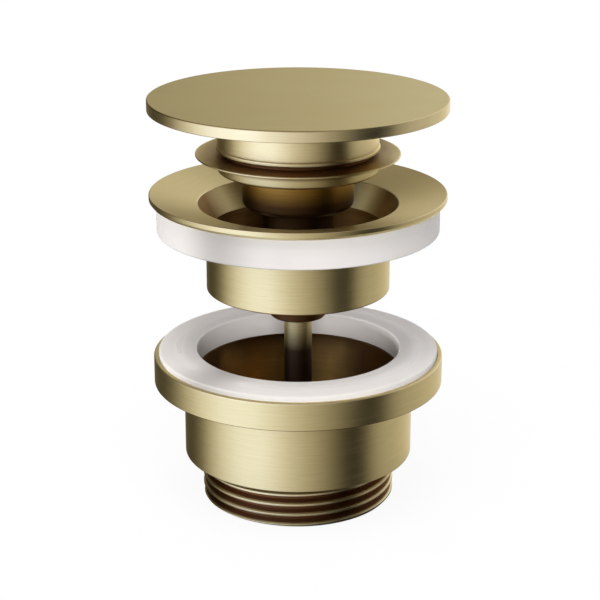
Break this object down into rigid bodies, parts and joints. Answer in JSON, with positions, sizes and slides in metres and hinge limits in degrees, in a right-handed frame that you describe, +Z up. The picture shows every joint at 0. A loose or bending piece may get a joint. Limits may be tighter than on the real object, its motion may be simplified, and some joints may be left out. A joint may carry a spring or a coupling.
{
  "type": "pop-up basin waste",
  "caption": "Brushed brass click-clack basin waste: round cap on a plunger over a dished flange, white gaskets, and a threaded tail drawn up by a stem bolt.",
  "frame": {"origin": "centre of the tail's end face, where the waste stands", "axes": "+Z up along the waste's axis towards the cap; X and Y across it"},
  "size_m": [0.063, 0.063, 0.0885],
  "materials": {
    "brass": "brushed brass",
    "white_rubber": "white rubber",
    "black_rubber": "black rubber",
    "steel": "stainless steel",
    "acetal": "white acetal"
  },
  "bodies": {
    "tail": {"tail_body": "brass", "tail_bridge": "brass", "bridge_clip": "steel", "lower_gasket": "white_rubber"},
    "flange": {"flange_tube": "brass", "upper_gasket": "white_rubber", "barrel_washer": "acetal", "cartridge_barrel": "brass", "guide_bush": "acetal", "wiper_ring": "black_rubber", "stem_washer": "acetal", "spring_disc": "steel", "click_spring": "steel"},
    "stem": {"stem_bolt": "brass"},
    "plug": {"plug_cap": "brass", "plug_collar": "brass", "plug_seal": "brass", "seal_retainer": "brass", "plunger": "steel"},
    "rotor": {"cam_rotor": "acetal"}
  },
  "joints": [
    {"name": "clamp_travel", "type": "slide", "parent": "tail", "child": "flange", "axis": [0, 0, 1], "range_m": [-0.012, 0]},
    {"name": "clamp_screw", "type": "hinge", "parent": "flange", "child": "stem", "pos_m": [0, 0, 0.03], "axis": [0, 0, 1], "range_deg": [-4380, 40]},
    {"name": "pop_up", "type": "slide", "parent": "flange", "child": "plug", "axis": [0, 0, 1], "range_m": [-0.01, 0], "stiffness_N_per_m": 350, "springref_m": 0.012, "deforming": ["click_spring"]},
    {"name": "rotor_turn", "type": "hinge", "parent": "plug", "child": "rotor", "pos_m": [0, 0, 0.0664], "axis": [0, 0, 1], "range_deg": [-46, 1]}
  ],
  "couplings": [
    {"joint": "clamp_screw", "follows": "clamp_travel", "rad_per_m": 6283.2},
    {"joint": "rotor_turn", "follows": "pop_up", "rad_per_m": 78.54}
  ]
}
